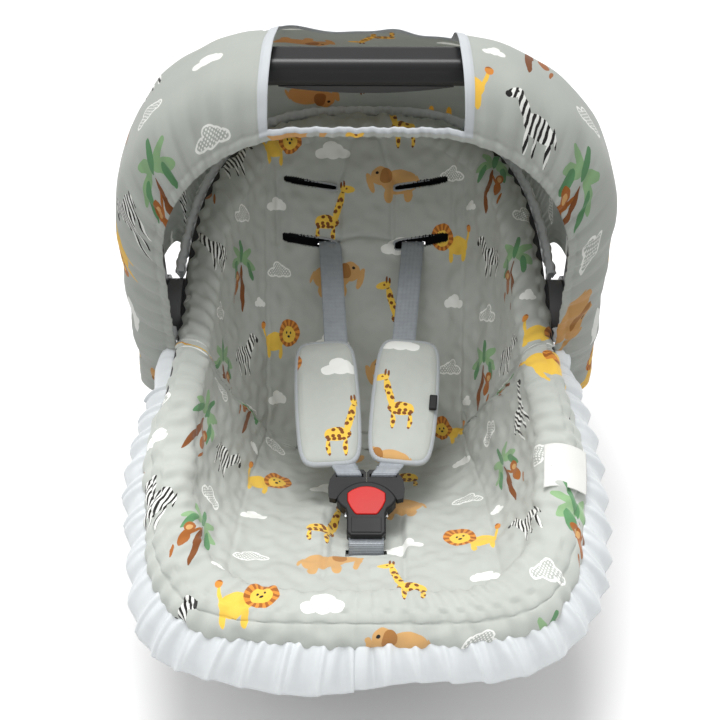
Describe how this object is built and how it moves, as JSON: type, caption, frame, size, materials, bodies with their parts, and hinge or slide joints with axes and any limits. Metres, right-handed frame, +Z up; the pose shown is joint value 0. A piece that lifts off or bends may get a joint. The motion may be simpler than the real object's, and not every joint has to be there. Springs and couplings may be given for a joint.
{
  "type": "infant car seat carrier",
  "caption": "Rear-facing infant carrier: reclined plastic bucket with padded liner, ruffled edge, folding carry handle, fabric hood, harness with press buckle, and rocker base.",
  "frame": {"origin": "on the floor under the middle of the carrier's outer box", "axes": "+Z up, +Y toward the head end, +X to the right of someone looking in from the foot end"},
  "size_m": [0.4808, 0.6374, 0.6109],
  "materials": {
    "shell_plastic": "textured black moulding",
    "foot_rubber": "matt",
    "steel": "zinc plated",
    "foam": "moulded bead foam",
    "liner_fabric": "quilted printed cotton",
    "ruffle_fabric": "satin",
    "label_fabric": "blank woven label",
    "socket_plastic": "nylon",
    "buckle_plastic": "black moulding",
    "webbing": "woven polyester",
    "hood_fabric": "thin printed cotton",
    "handle_plastic": "black moulding",
    "grip_plastic": "soft moulding",
    "button_plastic": "grey moulding",
    "red_plastic": "red moulding",
    "pad_fabric": "padded printed cotton"
  },
  "bodies": {
    "seat": {"shell": "shell_plastic", "rocker_base": "shell_plastic", "foot_pads": "foot_rubber", "base_screws": "steel", "foam_insert": "foam", "seat_liner": "liner_fabric", "ruffle": "ruffle_fabric", "side_label": "label_fabric", "hub_socket_left": "socket_plastic", "hub_socket_right": "socket_plastic", "hub_screws": "steel", "buckle_housing": "buckle_plastic", "buckle_spring": "steel", "shoulder_strap_left": "webbing", "shoulder_strap_right": "webbing", "crotch_strap": "webbing", "crotch_anchor": "steel", "strap_slides": "steel", "hood": "hood_fabric"},
    "handle": {"handle_arch": "handle_plastic", "handle_grip": "grip_plastic", "hub_cap_left": "handle_plastic", "hub_cap_right": "handle_plastic", "handle_spring_left": "steel", "handle_spring_right": "steel"},
    "button_left": {"handle_button_left": "button_plastic"},
    "button_right": {"handle_button_right": "button_plastic"},
    "buckle_press": {"buckle_button": "red_plastic"},
    "tongue_l": {"tongue_left": "buckle_plastic", "tongue_blade_left": "steel"},
    "tongue_r": {"tongue_right": "buckle_plastic", "tongue_blade_right": "steel"},
    "pad_l": {"shoulder_pad_left": "pad_fabric"},
    "pad_r": {"shoulder_pad_right": "pad_fabric", "pad_hook": "buckle_plastic"}
  },
  "joints": [
    {"name": "handle", "type": "hinge", "parent": "seat", "child": "handle", "pos_m": [0, 0.048, 0.29], "axis": [-1, 0, 0], "range_deg": [0, 112], "deforming": ["hood"]},
    {"name": "button_left_press", "type": "slide", "parent": "handle", "child": "button_left", "axis": [1, 0, 0], "range_m": [0, 0.005], "stiffness_N_per_m": 900, "deforming": ["handle_spring_left"]},
    {"name": "button_right_press", "type": "slide", "parent": "handle", "child": "button_right", "axis": [-1, 0, 0], "range_m": [0, 0.005], "stiffness_N_per_m": 900, "deforming": ["handle_spring_right"]},
    {"name": "buckle_press", "type": "slide", "parent": "seat", "child": "buckle_press", "axis": [0, 0.2147, -0.9767], "range_m": [0, 0.003], "stiffness_N_per_m": 1500, "deforming": ["buckle_spring"]},
    {"name": "tongue_left_slide", "type": "slide", "parent": "seat", "child": "tongue_l", "axis": [0, 0.9767, 0.2147], "range_m": [0, 0.024], "deforming": ["shoulder_strap_left"]},
    {"name": "tongue_right_slide", "type": "slide", "parent": "seat", "child": "tongue_r", "axis": [0, 0.9767, 0.2147], "range_m": [0, 0.024], "deforming": ["shoulder_strap_right"]},
    {"name": "pad_left_slide", "type": "slide", "parent": "tongue_l", "child": "pad_l", "axis": [-0.0652, 0.9746, 0.2143], "range_m": [0, 0.04]},
    {"name": "pad_right_slide", "type": "slide", "parent": "tongue_r", "child": "pad_r", "axis": [0.0924, 0.9725, 0.2138], "range_m": [0, 0.04]}
  ]
}
